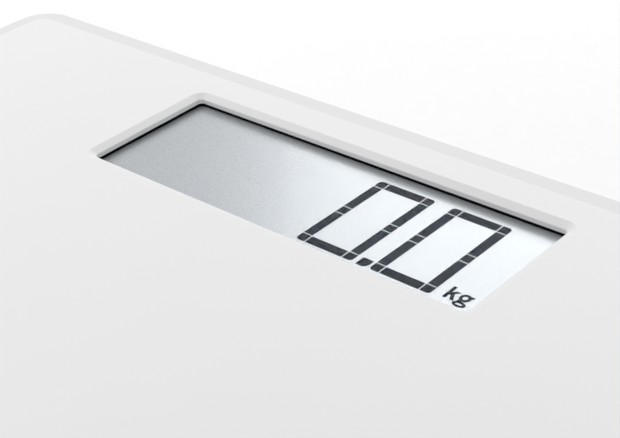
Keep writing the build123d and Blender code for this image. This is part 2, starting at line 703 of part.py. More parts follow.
# ================================================================ battery
def battery_door():
    """Hinged flap with stub pins, a finger tab and a pad rib under the battery."""
    plate_y0 = BAY_CY - BAY_Y / 2 + DOOR_GAP
    size_x = BAY_X - 2 * DOOR_GAP
    size_y = HINGE_Y - plate_y0
    middle = plate_y0 + size_y / 2
    door = block(size_x, size_y, FLOOR_LOW, FLOOR_LOW + DOOR_T, 0, middle)
    knuckle = Pos(0, HINGE_Y, HINGE_Z) * Rot(0, 90, 0)
    door += knuckle * Cylinder(HINGE_R, size_x)
    door += knuckle * Cylinder(HINGE_PIN_R, BAY_X + 3.2)
    inside = FLOOR_LOW + DOOR_T - BITE
    door += ring(*DOOR_RIB, inside, DOOR_RIB_TOP, 0, BATTERY_CY)
    tab_y = plate_y0 + 1.3
    door += block(*TAB_SIZE, inside, TAB_TOP, 0, tab_y)
    door += Pos(0, tab_y - TAB_SIZE[1] / 2, TAB_TOP - 1.1) * Rot(0, 90, 0) * Cylinder(0.45, 10)
    for k in range(5):
        groove_y = plate_y0 + 4 + 2 * k
        door -= block(14, 0.8, FLOOR_LOW - OVER, FLOOR_LOW + 0.5, 0, groove_y)
    return door


def battery_cell():
    """Coin battery: can with a smaller raised negative side on top."""
    can = disc(BATTERY_R, BATTERY_LOW, BATTERY_LOW + BATTERY_T - 0.35, 0, BATTERY_CY)
    can = fillet(can.edges().sort_by(Axis.Z)[0], 0.4)
    top = BATTERY_LOW + BATTERY_T
    return can + disc(BATTERY_R - 1.4, top - 0.4, top, 0, BATTERY_CY)


def contact_minus():
    """Sprung plate on the bay's ceiling, with its tail through a slot."""
    top = BATTERY_LOW + BATTERY_T
    low = BAY_CEILING - CONTACT_T
    plate = block(10, 8, low, BAY_CEILING, 0, BATTERY_CY)
    nose = Pos(0, BATTERY_CY, (top + low) / 2) * Cone(0.8, 2.0, low - top)
    return plate + nose + block(TAIL_W, CONTACT_T, low, TAIL_TOP, 0, MINUS_TAIL_Y)


def contact_plus():
    """Upright strip that bears on the battery's rim, with its tail through a slot."""
    strip = block(CONTACT_T, 6, BATTERY_LOW, BAY_CEILING, PLUS_TAIL_X, BATTERY_CY)
    low = BAY_CEILING - CONTACT_T
    return strip + block(CONTACT_T, TAIL_W, low, TAIL_TOP, PLUS_TAIL_X, BATTERY_CY)


def contact_slots():
    """Slots in the bay's ceiling for the two tails."""
    wide = TAIL_W + 2 * TAIL_ROOM
    narrow = CONTACT_T + 2 * TAIL_ROOM
    low = BAY_CEILING - 0.1
    slots = block(wide, narrow, low, HEIGHT, 0, MINUS_TAIL_Y)
    return slots + block(narrow, wide, low, HEIGHT, PLUS_TAIL_X, BATTERY_CY)


# ================================================================ weighing feet
def foot(x, y):
    """Round foot that carries the scale through the load cell's tongue."""
    body = disc(FOOT_R, FOOT_LOW, FLANGE_TOP, x, y)
    body = fillet(body.edges().sort_by(Axis.Z)[0], 0.8)
    body += disc(FLANGE_R, FLANGE_LOW, FLANGE_TOP, x, y)
    body -= disc(PAD_R + 0.1, 0, PAD_TOP, x, y)
    outer, inner, floor = FOOT_CAVITY
    body -= ring(outer, inner, floor, FLANGE_TOP + OVER, x, y)
    return body + disc(SEAT_R, FLANGE_TOP - 0.2, CELL_LOW, x, y)


def foot_pad(x, y):
    """Rubber disc with a ring groove, pressed into the foot."""
    pad = disc(PAD_R, 0, PAD_TOP, x, y)
    pad = fillet(pad.edges().sort_by(Axis.Z)[0], 0.6)
    outer, inner, depth = PAD_GROOVE
    return pad - ring(outer, inner, -OVER, depth, x, y)


def load_cell(x, y, side):
    """Steel plate: outer frame and a sprung tongue, joined on the outer side."""
    plate = rounded_block(CELL_SIZE, CELL_SIZE, CELL_LOW, CELL_TOP, CELL_R, x, y)
    inner = CELL_SIZE - 2 * CELL_FRAME
    tongue = inner - 2 * CELL_SLOT
    slot = block(inner, inner, 0, HEIGHT, x, y)
    neck = block(tongue, tongue + CELL_SLOT, 0, HEIGHT, x, y + side * CELL_SLOT / 2)
    return plate - (slot - neck)


def strain_gauge(x, y, side):
    """Gauge under its drop of sealant, on the tongue's neck."""
    size_x, size_y, size_z = GAUGE_SIZE
    middle = y + side * GAUGE_AT
    drop = rounded_block(size_x, size_y, CELL_TOP, CELL_TOP + size_z, 2.0, x, middle)
    return fillet(drop.faces().sort_by(Axis.Z)[-1].edges(), 0.5)


def cell_holder(x, y, sides):
    """Cap that seats on the cell's frame, screwed to the base."""
    cap = rounded_block(HOLDER_SIZE, HOLDER_SIZE, HOLDER_LOW, HOLDER_TOP, HOLDER_R, x, y)
    ear_root = HOLDER_SIZE / 2 - 2
    for ear in (-1, 1):
        cap += disc(EAR_R, EAR_LOW, EAR_TOP, x, y + ear * EAR_AT)
        arm_y = y + ear * (EAR_AT + ear_root) / 2
        cap += block(2 * EAR_R, EAR_AT - ear_root, EAR_LOW, EAR_TOP, x, arm_y)
    pocket = CELL_SIZE + 2 * HOLDER_ROOM
    cap -= rounded_block(pocket, pocket, 0, CELL_TOP, CELL_R, x, y)
    hollow = CELL_SIZE - 2 * CELL_FRAME
    roof_low = HOLDER_TOP - HOLDER_ROOF
    cap -= block(hollow, hollow, 0, roof_low, x, y)
    exit_x = x - sides[0] * LEAD_EXIT[0]
    cap -= block(*LEAD_EXIT, 0, roof_low, exit_x, y + sides[1] * GAUGE_AT)
    for ear in (-1, 1):
        cap -= disc(EAR_HOLE_R, 0, HEIGHT, x, y + ear * EAR_AT)
    return cap


def holder_screws():
    screws = []
    for sides in CORNERS.values():
        x, y = at_corner(sides)
        for ear in (-1, 1):
            screws.append(screw(x, y + ear * EAR_AT, EAR_TOP, EAR_SCREW_TIP, 2.2, 1.4, 0.86))
    return Compound(children=screws)


# ================================================================ leads
def offset_plan(points, offset):
    """Plan route moved sideways by an offset, with mitred corners."""
    moved = []
    for k, (x, y, z) in enumerate(points):
        before = points[max(k - 1, 0)]
        after = points[min(k + 1, len(points) - 1)]
        turn_in = atan2(y - before[1], x - before[0])
        turn_out = atan2(after[1] - y, after[0] - x)
        if k == 0:
            turn_in = turn_out
        if k == len(points) - 1:
            turn_out = turn_in
        half = (turn_out - turn_in + pi) % (2 * pi) / 2 - pi / 2
        normal = turn_in + half + pi / 2
        reach = offset / cos(half)
        moved.append((x + reach * cos(normal), y + reach * sin(normal), z))
    return moved


def wire(points, radius=WIRE_R):
    """Round wire along straight runs joined by the largest arcs that fit."""
    bends = []
    for before, here, after in zip(points, points[1:], points[2:]):
        run_in = Vector(*here) - Vector(*before)
        run_out = Vector(*after) - Vector(*here)
        turn = run_in.get_angle(run_out) * pi / 180
        shorter = min(run_in.length, run_out.length)
        bends.append(min(0.45 * shorter * cos(turn / 2) / sin(turn / 2), 12.0))
    path = FilletPolyline(*points, radius=bends)
    start = Plane(origin=path @ 0, z_dir=path % 0)
    tube = sweep(start * Circle(radius), path=path)
    expected = pi * radius**2 * path.length
    print("wire", round(path.length, 1), "mm, bends", [round(b, 1) for b in bends],
          "volume ratio", round(tube.volume / expected, 4))
    return tube


def cell_lead(sides):
    """Three wires from a gauge over the base floor to the board."""
    sx, sy = sides
    x, y = at_corner(sides)
    y += sy * GAUGE_AT
    start_z = CELL_TOP + WIRE_R + 0.1
    end_y = SOCKET_Y - SOCKET_SIZE[1] / 2
    socket_x = sx * CELL_SOCKETS[0 if sy < 0 else 1]
    cross_y = CROSS_FRONT if sy < 0 else CROSS_BACK
    route = [
        (x - sx * 4, y, start_z),
        (x - sx * 21, y, start_z),
        (sx * CHANNEL_X, y, WIRE_Z),
        (sx * CHANNEL_X, cross_y, WIRE_Z),
        (socket_x, cross_y, WIRE_Z),
        (socket_x, end_y - 7, SOCKET_Z),
        (socket_x, end_y, SOCKET_Z),
    ]
    return [wire(offset_plan(route, k * WIRE_PITCH)) for k in (-1, 0, 1)]


def battery_lead(tail, socket_x):
    """One wire from a contact's tail over the bay to the board."""
    end_y = SOCKET_Y - SOCKET_SIZE[1] / 2
    over = BAY_TOP + WIRE_R + 0.3
    bay_end = BAY_CY + BAY_Y / 2 + BAY_WALL
    x, y = tail
    route = [
        (x, y, over),
        (x, y + 5, over),
        (socket_x, bay_end - 3, over),
        (socket_x, bay_end + 4, over),
        (socket_x, bay_end + 16, WIRE_Z + 0.4),
        (socket_x, end_y - 18, WIRE_Z + 0.4),
        (socket_x, end_y - 8, SOCKET_Z),
        (socket_x, end_y, SOCKET_Z),
    ]
    return wire(route, 0.6)


# ================================================================ assembly
def all_pieces():
    pieces = {
        "platform": platform(),
        "display_gasket": display_gasket(),
        "lcd_polariser": lcd_polariser(),
        "lcd_front_glass": lcd_front_glass(),
        "lcd_seal": lcd_seal(),
        "lcd_digits": lcd_digits(),
        "lcd_unit_sign": lcd_unit_sign(),
        "lcd_rear_glass": lcd_rear_glass(),
        "lcd_reflector": lcd_reflector(),
        "display_carrier": display_carrier(),
        "contact_strips": contact_strips(),
        "circuit_board": circuit_board(),
        "controller_blob": controller_blob(),
        "amplifier_chip": amplifier_chip(),
        "amplifier_legs": amplifier_legs(),
        "crystal": crystal(),
        "chip_capacitors": chip_capacitors(),
        "chip_resistors": chip_resistors(),
        "lead_sockets": lead_sockets(),
        "unit_switch_body": unit_switch_body(),
        "unit_switch_plunger": unit_switch_plunger(),
        "unit_button": unit_button(),
        "board_screws": board_screws(),
        "base_shell": base_shell(),
        "base_screws": base_screws(),
        "battery_door": battery_door(),
        "battery_cell": battery_cell(),
        "battery_contact_minus": contact_minus(),
        "battery_contact_plus": contact_plus(),
        "battery_lead_minus": battery_lead((-0.4, MINUS_TAIL_Y + 0.15), -1.2),
        "battery_lead_plus": battery_lead((PLUS_TAIL_X, BATTERY_CY + TAIL_W / 2), 1.2),
        "holder_screws": holder_screws(),
    }
    for corner, sides in CORNERS.items():
        x, y = at_corner(sides)
        pieces["foot_" + corner] = foot(x, y)
        pieces["foot_pad_" + corner] = foot_pad(x, y)
        pieces["load_cell_" + corner] = load_cell(x, y, sides[1])
        pieces["strain_gauge_" + corner] = strain_gauge(x, y, sides[1])
        pieces["cell_holder_" + corner] = cell_holder(x, y, sides)
        pieces["cell_lead_" + corner] = Compound(children=cell_lead(sides))
    return pieces


os.makedirs("parts", exist_ok=True)
for name, piece in all_pieces().items():
    export_step(piece, os.path.join("parts", name + ".step"))
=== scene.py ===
from math import cos, pi, radians, sin

import bmesh
import bpy
from bpy.props import FloatProperty, FloatVectorProperty, IntProperty, PointerProperty
from mathutils import Matrix, Vector


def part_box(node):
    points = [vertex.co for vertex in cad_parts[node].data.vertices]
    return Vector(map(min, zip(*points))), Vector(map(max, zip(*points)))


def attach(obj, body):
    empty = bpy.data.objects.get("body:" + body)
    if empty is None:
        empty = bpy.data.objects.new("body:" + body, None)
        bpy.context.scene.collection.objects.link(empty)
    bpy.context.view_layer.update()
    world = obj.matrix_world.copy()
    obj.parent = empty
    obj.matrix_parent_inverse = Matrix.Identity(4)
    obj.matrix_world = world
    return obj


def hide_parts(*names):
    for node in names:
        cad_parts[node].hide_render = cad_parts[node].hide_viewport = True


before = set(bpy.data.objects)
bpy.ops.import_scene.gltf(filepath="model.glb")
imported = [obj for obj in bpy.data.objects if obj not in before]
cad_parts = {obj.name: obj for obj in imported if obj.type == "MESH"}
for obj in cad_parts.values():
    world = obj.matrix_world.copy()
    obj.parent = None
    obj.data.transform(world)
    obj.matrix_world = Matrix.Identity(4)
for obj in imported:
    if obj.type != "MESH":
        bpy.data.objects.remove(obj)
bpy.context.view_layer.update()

bl_info = {
    "name": "Digital Bathroom Scale",
    "version": (1, 0, 0),
    "blender": (4, 5, 0),
    "location": "3D View > Sidebar > Scale",
    "description": "Finishes, moulded foot pads and a studio for a digital bathroom scale",
    "category": "Object",
}

MM = 0.001
CORNERS = ("front_left", "front_right", "back_left", "back_right")
# Pale underside of the segments: painted light, so their mirror image in the reflector reads as a
# faint shadow.
PAINTED_LIGHT_UNDERSIDE = (0.3, 0.32, 0.34)
RED_PVC = (0.55, 0.02, 0.02)
BLACK_PVC = (0.02, 0.02, 0.02)
WHITE_PVC = (0.78, 0.78, 0.76)
STEPS_PER_TREAD = 6
# Softboxes round the display: azimuth and elevation in degrees, distance, width, height.
BACK_SOFTBOX = (23.5, 31.0, 1.5, 1.06, 0.65)
SIDE_SOFTBOX = (14.0, 31.0, 1.48, 0.60, 0.65)
LEFT_SOFTBOX = (90.0, 44.0, 0.85, 0.5, 0.5)


def node_top(name):
    """Highest point of a node."""
    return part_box(name)[1].z


def node_middle(name):
    """Middle of a node's box."""
    low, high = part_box(name)
    return (low + high) / 2


# ---------------------------------------------------------------- settings
def colour(label, about, default):
    """A colour property."""
    return FloatVectorProperty(
        name=label, description=about, subtype="COLOR", size=3, min=0.0, max=1.0, default=default
    )


def share(label, about, default):
    """A property from 0 to 1."""
    return FloatProperty(
        name=label, description=about, subtype="FACTOR", min=0.0, max=1.0, default=default
    )


def length(label, about, default):
    """A length property in metres."""
    return FloatProperty(
        name=label, description=about, subtype="DISTANCE", unit="LENGTH", min=0.0,
        precision=5, default=default,
    )


def angle(label, about, degrees):
    """An angle property."""
    return FloatProperty(
        name=label, description=about, subtype="ANGLE", unit="ROTATION", default=radians(degrees)
    )


def power(label, about, default):
    """A lamp's power."""
    return FloatProperty(
        name=label, description=about, subtype="POWER", unit="POWER", min=0.0, default=default
    )


class SCALE_PG_housing(bpy.types.PropertyGroup):
    """Finish of the platform and the base."""

    top_colour: colour("Top", "Colour of the standing surface", (0.87, 0.87, 0.87))
    # The rim's darker tone is painted shade, standing in for the dimmer reflection of the sloping
    # rim.
    rim_painted_shade: share("Rim tone", "Brightness of the sloping rim against the top", 0.90)
    top_roughness: share("Top roughness", "Roughness of the standing surface", 0.50)
    top_gloss: share("Top gloss", "Mirrored share of the standing surface", 0.25)
    rim_width: length("Rim width", "Width of the sloping rim", 6.0 * MM)
    rim_corner: length("Rim corner", "Corner radius of the rim's inner line", 5.0 * MM)
    grain_size: length("Grain size", "Size of the satin grain", 0.45 * MM)
    grain_depth: length("Grain depth", "Depth of the satin grain", 0.0035 * MM)
    base_colour: colour("Base", "Colour of the base tray", (0.62, 0.63, 0.64))
    button_colour: colour("Button", "Colour of the unit button", (0.32, 0.34, 0.36))


class SCALE_PG_display(bpy.types.PropertyGroup):
    """Finish of the liquid-crystal display."""

    reflector_colour: colour("Reflector", "Tint of the satin reflector", (0.555, 0.585, 0.612))
    reflector_metal: share("Reflector metal", "Metallic share of the reflector", 0.40)
    reflector_roughness: share("Reflector roughness", "Roughness of the reflector", 0.30)
    # The dark border is painted shade on the reflector, where the gasket and the platform above
    # keep the light off.
    shade_border_side: length("Side border", "Dark border at the ground's short edges", 2.35 * MM)
    shade_border_long: length("Long border", "Dark border at the ground's long edges", 2.5 * MM)
    shade_border_corner: length("Border corner", "Corner radius of the dark border", 1.8 * MM)
    segment_colour: colour("Segments", "Colour of a lit segment", (0.007, 0.015, 0.029))
    segment_roughness: share("Segment roughness", "Roughness seen on a segment", 0.35)
    segment_gloss: share("Segment gloss", "Mirrored share of a segment", 0.02)
    glass_gloss: share("Glass gloss", "Share of light the cover film mirrors", 0.010)
    film_roughness: share("Film roughness", "Roughness of the cover film", 0.09)
    # The foam's own colour, also used for the painted shade border on the reflector.
    foam_and_painted_shade_colour: colour("Foam", "Colour of the foam frame", (0.012, 0.014, 0.017))


class SCALE_PG_feet(bpy.types.PropertyGroup):
    """Shape and finish of the foot pads."""

    rubber_colour: colour("Rubber", "Colour of the foot pads", (0.075, 0.078, 0.082))
    treads: IntProperty(name="Treads", description="Radial ribs on a pad", min=6, default=24)
    tread_depth: length("Tread depth", "Depth of the grooves between the ribs", 0.45 * MM)


class SCALE_PG_studio(bpy.types.PropertyGroup):
    """Camera, lamps and floor."""

    azimuth: angle("Azimuth", "Way the camera looks, from +Y towards -X", 44.814)
    elevation: angle("Elevation", "How far the camera looks down", 31.468)
    roll: angle("Roll", "Turn of the camera about its own axis", -5.33)
    distance: length("Distance", "From the camera to the point it looks at", 0.3457)
    aim_across: length("Aim across", "Aim point from the digits' left edge", 1.16 * MM)
    aim_up: length("Aim up", "Aim point from the digits' lower edge", 4.67 * MM)
    lens: FloatProperty(
        name="Lens", description="Focal length", subtype="DISTANCE_CAMERA", unit="CAMERA",
        default=82.54,
    )
    sky: FloatProperty(name="Sky", description="Brightness all round", min=0.0, default=0.6)
    back_power: power("Back softbox", "Power of the softbox behind the scale", 5.6)
    side_power: power("Side softbox", "Power of the softbox behind and right", 1.8)
    left_power: power("Left softbox", "Power of the softbox left of the scale", 2.0)
    floor_size: length("Floor size", "Width of the floor", 8.0)
    floor_colour: colour("Floor", "Colour of the floor", (0.97, 0.97, 0.97))


# ---------------------------------------------------------------- shader building
def add_node(tree, kind, **values):
    """A new node with some of its own settings."""
    made = tree.nodes.new(kind)
    for name, value in values.items():
        setattr(made, name, value)
    return made


def object_coordinates(tree):
    """Each node's own coordinates in metres."""
    return add_node(tree, "ShaderNodeTexCoord").outputs["Object"]


def noise(tree, size, detail=2.0):
    """Even noise whose grains are about this size in metres."""
    made = add_node(tree, "ShaderNodeTexNoise")
    made.inputs["Scale"].default_value = 1.0 / size
    made.inputs["Detail"].default_value = detail
    tree.links.new(object_coordinates(tree), made.inputs["Vector"])
    return made.outputs["Fac"]


def remap(tree, value, low, high):
    """Noise around one half, spread to run from low to high."""
    made = add_node(tree, "ShaderNodeMapRange")
    made.inputs["From Min"].default_value = 0.3
    made.inputs["From Max"].default_value = 0.7
    made.inputs["To Min"].default_value = low
    made.inputs["To Max"].default_value = high
    tree.links.new(value, made.inputs["Value"])
    return made.outputs["Result"]


def blend_colours(tree, factor, first, second):
    """Mix of two colours, each a tuple or a socket."""
    made = add_node(tree, "ShaderNodeMix", data_type="RGBA")
    tree.links.new(factor, made.inputs[0])
    for socket, value in ((made.inputs[6], first), (made.inputs[7], second)):
        if isinstance(value, bpy.types.NodeSocket):
            tree.links.new(value, socket)
        else:
            socket.default_value = (*value, 1.0)
    return made.outputs[2]


def add_bump(tree, height, depth):
    """Bump of a given depth in metres."""
    made = add_node(tree, "ShaderNodeBump")
    made.inputs["Strength"].default_value = 1.0
    made.inputs["Distance"].default_value = depth
    tree.links.new(height, made.inputs["Height"])
    return made.outputs["Normal"]


def new_material(name):
    """An empty material with its output node."""
    material = bpy.data.materials.new(name)
    material.use_nodes = True
    tree = material.node_tree
    tree.nodes.clear()
    output = add_node(tree, "ShaderNodeOutputMaterial")
    return material, tree, output


def principled(tree, output, roughness, metallic=0.0, specular=0.5):
    """The main shader, joined to the output."""
    shader = add_node(tree, "ShaderNodeBsdfPrincipled")
    shader.inputs["Roughness"].default_value = roughness
    shader.inputs["Metallic"].default_value = metallic
    shader.inputs["Specular IOR Level"].default_value = specular
    tree.links.new(shader.outputs["BSDF"], output.inputs["Surface"])
    return shader


def add_grain(tree, shader, roughness, size, depth, spread=0.05, detail=2.0):
    """Uneven gloss and a fine bump from one noise."""
    fine = noise(tree, size, detail)
    gloss = remap(tree, fine, roughness - spread, roughness + spread)
    tree.links.new(gloss, shader.inputs["Roughness"])
    tree.links.new(add_bump(tree, fine, depth), shader.inputs["Normal"])


def shaded(tint, factor):
    """A colour made lighter or darker."""
    return tuple(channel * factor for channel in tint)


def surface(name, tint, roughness, grain, depth, metallic=0.0, variety=0.04, spread=0.05):
    """Solid material with faint colour variety, uneven gloss and a fine grain."""
    material, tree, output = new_material(name)
    shader = principled(tree, output, roughness, metallic)
    patches = noise(tree, grain * 40, 3.0)
    tinted = blend_colours(tree, patches, shaded(tint, 1 - variety), shaded(tint, 1 + variety))
    tree.links.new(tinted, shader.inputs["Base Color"])
    add_grain(tree, shader, roughness, grain, depth, spread)
    return material


def dress(material, *names):
    """Gives CAD nodes a material."""
    for name in names:
        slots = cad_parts[name].material_slots
        for entry in slots:
            entry.material = material


# ---------------------------------------------------------------- platform and base
def outside_mask(tree, middle, half, corner):
    """0 inside a rounded rectangle seen from above, 1 outside it."""
    centred = add_node(tree, "ShaderNodeVectorMath", operation="SUBTRACT")
    centred.inputs[1].default_value = middle
    tree.links.new(object_coordinates(tree), centred.inputs[0])
    sheet = add_node(tree, "ShaderNodeVectorMath", operation="MULTIPLY")
    sheet.inputs[1].default_value = (1.0, 1.0, 0.0)
    tree.links.new(centred.outputs[0], sheet.inputs[0])
    folded = add_node(tree, "ShaderNodeVectorMath", operation="ABSOLUTE")
    tree.links.new(sheet.outputs[0], folded.inputs[0])
    inner = add_node(tree, "ShaderNodeVectorMath", operation="SUBTRACT")
    inner.inputs[1].default_value = (half.x - corner, half.y - corner, 0.0)
    tree.links.new(folded.outputs[0], inner.inputs[0])
    outside = add_node(tree, "ShaderNodeVectorMath", operation="MAXIMUM")
    outside.inputs[1].default_value = (0.0, 0.0, 0.0)
    tree.links.new(inner.outputs[0], outside.inputs[0])
    reach = add_node(tree, "ShaderNodeVectorMath", operation="LENGTH")
    tree.links.new(outside.outputs[0], reach.inputs[0])
    step = add_node(tree, "ShaderNodeMapRange")
    step.inputs["From Min"].default_value = corner - 0.05 * MM
    step.inputs["From Max"].default_value = corner + 0.05 * MM
    tree.links.new(reach.outputs["Value"], step.inputs["Value"])
    return step.outputs["Result"]


def platform_material(housing):
    """White moulding: a satin top, and a rim painted darker as painted shade for the dimmer
    reflection it catches.
    """
    material, tree, output = new_material("white_satin")
    shader = principled(tree, output, housing.top_roughness, 0.0, housing.top_gloss)
    top = tuple(housing.top_colour)
    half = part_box("platform")[1].copy()
    half.x -= housing.rim_width
    half.y -= housing.rim_width
    mask = outside_mask(tree, node_middle("platform"), half, housing.rim_corner)
    patches = noise(tree, 30 * MM, 3.0)
    flat = blend_colours(tree, patches, shaded(top, 0.992), shaded(top, 1.008))
    # Rim colour darkened: painted shade for the sloping rim's dimmer reflection.
    toned = blend_colours(tree, mask, flat, shaded(top, housing.rim_painted_shade))
    tree.links.new(toned, shader.inputs["Base Color"])
    rough = housing.top_roughness
    add_grain(tree, shader, rough, housing.grain_size, housing.grain_depth, 0.04, 1.0)
    return material


class SCALE_OT_finish_housing(bpy.types.Operator):
    """Gives the platform, the base, its door and the button their moulded plastics"""

    bl_idname = "scale_parts.finish_housing"
    bl_label = "Finish Housing"

    def execute(self, context):
        housing = context.scene.scale_housing
        base = tuple(housing.base_colour)
        dress(platform_material(housing), "platform")
        tray = surface("base_moulding", base, 0.52, 0.8 * MM, 0.02 * MM)
        dress(tray, "base_shell")
        door = surface("door_moulding", shaded(base, 0.97), 0.5, 0.8 * MM, 0.02 * MM)
        dress(door, "battery_door")
        button = surface("button_moulding", tuple(housing.button_colour), 0.48, 0.6 * MM, 0.01 * MM)
        dress(button, "unit_button")
        holder = surface("holder_moulding", shaded(base, 0.9), 0.55, 0.9 * MM, 0.02 * MM)
        dress(holder, *("cell_holder_" + corner for corner in CORNERS))
        foot = surface("foot_moulding", shaded(base, 0.8), 0.5, 0.7 * MM, 0.02 * MM)
        dress(foot, *("foot_" + corner for corner in CORNERS))
        return {"FINISHED"}


# ---------------------------------------------------------------- display
def clear_sheet(name, gloss, roughness):
    """Thin clear sheet: passes light straight on and mirrors a little."""
    material, tree, output = new_material(name)
    through = add_node(tree, "ShaderNodeBsdfTransparent")
    mirror = add_node(tree, "ShaderNodeBsdfGlossy")
    fine = noise(tree, 0.25 * MM, 1.0)
    tree.links.new(remap(tree, fine, roughness * 0.9, roughness * 1.1), mirror.inputs["Roughness"])
    tree.links.new(add_bump(tree, fine, 0.001 * MM), mirror.inputs["Normal"])
    mixed = add_node(tree, "ShaderNodeMixShader")
    mixed.inputs[0].default_value = gloss
    tree.links.new(through.outputs[0], mixed.inputs[1])
    tree.links.new(mirror.outputs[0], mixed.inputs[2])
    tree.links.new(mixed.outputs[0], output.inputs["Surface"])
    return material


def reflector_material(display):
    """Satin metal film with a very fine sparkle, and a dark border of painted shade along its
    edges, where the gasket and platform shade it.
    """
    material, tree, output = new_material("satin_reflector")
    rough = display.reflector_roughness
    shader = principled(tree, output, rough, display.reflector_metal)
    tint = tuple(display.reflector_colour)
    fine = noise(tree, 0.3 * MM, 2.0)
    toned = blend_colours(tree, fine, shaded(tint, 0.9), shaded(tint, 1.1))
    low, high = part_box("lcd_rear_glass")
    half = (high - low) / 2 - Vector((display.shade_border_side, display.shade_border_long, 0.0))
    # Dark border in the foam colour: painted shade where the gasket and platform shade the
    # reflector.
    edge = outside_mask(tree, (low + high) / 2, half, display.shade_border_corner)
    painted_shade_framed = blend_colours(tree, edge, toned, tuple(display.foam_and_painted_shade_colour))
    tree.links.new(painted_shade_framed, shader.inputs["Base Color"])
    tree.links.new(remap(tree, fine, rough - 0.04, rough + 0.04), shader.inputs["Roughness"])
    tree.links.new(add_bump(tree, fine, 0.001 * MM), shader.inputs["Normal"])
    return material


def segment_material(display):
    """Dark ink; its underside is painted pale as painted light, so the reflector mirrors it as a
    faint shadow line instead of a dark one.
    """
    material, tree, output = new_material("segment_ink")
    rough = display.segment_roughness
    shader = principled(tree, output, rough, 0.0, display.segment_gloss)
    facing = add_node(tree, "ShaderNodeNewGeometry")
    axes = add_node(tree, "ShaderNodeSeparateXYZ")
    tree.links.new(facing.outputs["Normal"], axes.inputs[0])
    under = add_node(tree, "ShaderNodeMath", operation="LESS_THAN")
    under.inputs[1].default_value = -0.5
    tree.links.new(axes.outputs["Z"], under.inputs[0])
    ink = tuple(display.segment_colour)
    fine = noise(tree, 0.3 * MM, 1.0)
    inked = blend_colours(tree, fine, shaded(ink, 0.94), shaded(ink, 1.06))
    # Downward faces take the pale underside colour: painted light that fills in the mirrored
    # shadow.
    toned = blend_colours(tree, under.outputs[0], inked, PAINTED_LIGHT_UNDERSIDE)
    tree.links.new(toned, shader.inputs["Base Color"])
    add_grain(tree, shader, rough, 0.3 * MM, 0.001 * MM)
    return material


def striped_rubber():
    """Contact rubber in fine conducting and insulating layers."""
    material, tree, output = new_material("contact_rubber")
    shader = principled(tree, output, 0.6)
    wave = add_node(tree, "ShaderNodeTexWave", bands_direction="X")
    wave.inputs["Scale"].default_value = 1.0 / (3.0 * MM)
    wave.inputs["Distortion"].default_value = 0.3
    tree.links.new(object_coordinates(tree), wave.inputs["Vector"])
    toned = blend_colours(tree, wave.outputs["Fac"], (0.02, 0.02, 0.02), (0.55, 0.5, 0.48))
    tree.links.new(toned, shader.inputs["Base Color"])
    add_grain(tree, shader, 0.6, 0.3 * MM, 0.01 * MM)
    return material


class SCALE_OT_finish_display(bpy.types.Operator):
    """Gives the glass, segments, reflector and foam frame their finishes"""

    bl_idname = "scale_parts.finish_display"
    bl_label = "Finish Display"

    def execute(self, context):
        display = context.scene.scale_display
        film = clear_sheet("cover_film", display.glass_gloss, display.film_roughness)
        dress(film, "lcd_polariser")
        dress(clear_sheet("front_glass", 0.002, 0.05), "lcd_front_glass")
        dress(reflector_material(display), "lcd_rear_glass", "lcd_reflector")
        dress(segment_material(display), "lcd_digits", "lcd_unit_sign")
        dress(surface("cell_seal", (0.55, 0.56, 0.54), 0.5, 0.4 * MM, 0.005 * MM), "lcd_seal")
        foam = surface("foam", tuple(display.foam_and_painted_shade_colour), 0.85, 0.35 * MM, 0.03 * MM, 0.0, 0.15)
        dress(foam, "display_gasket")
        carrier = surface("carrier_moulding", (0.02, 0.02, 0.022), 0.55, 0.7 * MM, 0.015 * MM)
        dress(carrier, "display_carrier")
        dress(striped_rubber(), "contact_strips")
        return {"FINISHED"}


# ---------------------------------------------------------------- electronics
def board_material():
    """Green solder mask with copper traces just under it."""
    material, tree, output = new_material("solder_mask")
    shader = principled(tree, output, 0.32)
    cells = add_node(tree, "ShaderNodeTexBrick")
    cells.inputs["Scale"].default_value = 1.0 / (14 * MM)
    cells.inputs["Mortar Size"].default_value = 0.035
    cells.inputs["Color1"].default_value = (0.006, 0.06, 0.022, 1.0)
    cells.inputs["Color2"].default_value = (0.006, 0.07, 0.026, 1.0)
    cells.inputs["Mortar"].default_value = (0.03, 0.20, 0.07, 1.0)
    tree.links.new(object_coordinates(tree), cells.inputs["Vector"])
    tree.links.new(cells.outputs["Color"], shader.inputs["Base Color"])
    fine = noise(tree, 0.6 * MM)
    tree.links.new(remap(tree, fine, 0.27, 0.37), shader.inputs["Roughness"])
    tree.links.new(add_bump(tree, cells.outputs["Fac"], 0.02 * MM), shader.inputs["Normal"])
    return material


def wire_material(name, tints):
    """Insulation whose colour differs from one wire to the next."""
    material, tree, output = new_material(name)
    shader = principled(tree, output, 0.4)
    geometry = add_node(tree, "ShaderNodeNewGeometry")
    ramp = add_node(tree, "ShaderNodeValToRGB")
    ramp.color_ramp.interpolation = "CONSTANT"
    stops = ramp.color_ramp.elements
    while len(stops) < len(tints):
        stops.new(0.5)
    for number, tint in enumerate(tints):
        stops[number].position = number / len(tints)
        stops[number].color = (*tint, 1.0)
    tree.links.new(geometry.outputs["Random Per Island"], ramp.inputs["Fac"])
    tree.links.new(ramp.outputs["Color"], shader.inputs["Base Color"])
    add_grain(tree, shader, 0.4, 0.4 * MM, 0.005 * MM)
    return material


